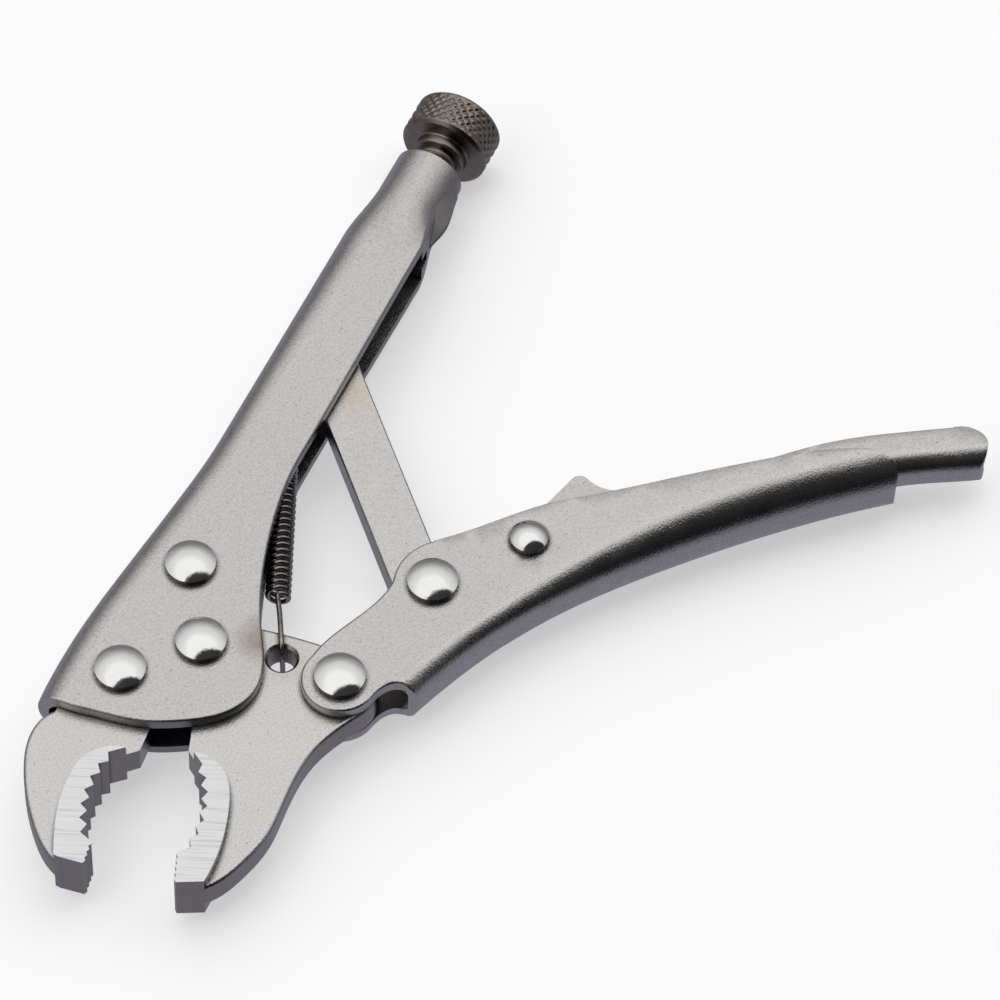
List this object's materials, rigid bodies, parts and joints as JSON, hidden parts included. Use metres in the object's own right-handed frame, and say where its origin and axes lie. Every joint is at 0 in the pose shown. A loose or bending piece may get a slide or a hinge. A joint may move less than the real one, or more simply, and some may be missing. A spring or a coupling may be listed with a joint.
{
  "type": "locking pliers",
  "caption": "Curved-jaw locking pliers with toothed jaws, pressed channel handles, toggle link, release lever, return spring and knurled adjusting screw.",
  "frame": {"origin": "middle of the bounding box's bottom face, with the tool lying on its side in the open position", "axes": "+X along the adjusting screw towards its knob, +Y out through the back of the fixed handle, +Z along the rivets"},
  "size_m": [0.2268, 0.1656, 0.0216],
  "materials": {
    "nickel_sheet": "satin nickel plate over fine shot-blasted grain",
    "nickel_bar": "satin nickel plate, faint stain",
    "nickel_forging": "satin nickel plate, milled bright on the tooth pads",
    "polished_rivet": "polished nickel",
    "knob_steel": "turned and knurled steel, dull",
    "spring_steel": "drawn spring wire, dark"
  },
  "bodies": {
    "frame": {"fixed_handle": "nickel_sheet", "fixed_jaw": "nickel_forging", "fixed_jaw_rivet_front": "polished_rivet", "fixed_jaw_rivet_rear": "polished_rivet", "jaw_pivot_rivet": "polished_rivet"},
    "moving_jaw": {"movable_jaw": "nickel_forging", "return_spring": "spring_steel"},
    "lever": {"lever_handle": "nickel_sheet", "lever_pivot_rivet": "polished_rivet", "link_pivot_rivet": "polished_rivet", "release_lever_rivet": "polished_rivet"},
    "link": {"toggle_link": "nickel_bar"},
    "release": {"release_lever": "nickel_sheet"},
    "spindle": {"adjusting_spindle": "knob_steel"},
    "knob": {"adjusting_knob": "knob_steel"}
  },
  "joints": [
    {"name": "jaw_hinge", "type": "hinge", "parent": "frame", "child": "moving_jaw", "pos_m": [-0.05095, 0.05538, 0.0108], "axis": [0, 0, 1], "range_deg": [-16, 0], "stiffness_Nm_per_rad": 0.4, "deforming": ["return_spring"]},
    {"name": "lever_hinge", "type": "hinge", "parent": "moving_jaw", "child": "lever", "pos_m": [-0.04625, 0.02369, 0.0108], "axis": [0, 0, 1], "range_deg": [0, 33.2]},
    {"name": "link_hinge", "type": "hinge", "parent": "lever", "child": "link", "pos_m": [-0.01455, 0.01588, 0.0108], "axis": [0, 0, 1], "range_deg": [-26.2, 0]},
    {"name": "release_hinge", "type": "hinge", "parent": "lever", "child": "release", "pos_m": [0.00535, 0.00128, 0.0108], "axis": [0, 0, 1], "range_deg": [0, 8], "stiffness_Nm_per_rad": 0.2},
    {"name": "spindle_slide", "type": "slide", "parent": "frame", "child": "spindle", "axis": [1, 0, 0], "range_m": [0, 0.008]},
    {"name": "knob_spin", "type": "hinge", "parent": "spindle", "child": "knob", "pos_m": [0.10905, 0.06759, 0.0108], "axis": [1, 0, 0], "range_deg": [0, 1925]}
  ],
  "couplings": [
    {"joint": "lever_hinge", "follows": "jaw_hinge", "ratio": -2.06},
    {"joint": "link_hinge", "follows": "jaw_hinge", "ratio": 1.62},
    {"joint": "knob_spin", "follows": "spindle_slide", "rad_per_m": 4188.8}
  ]
}
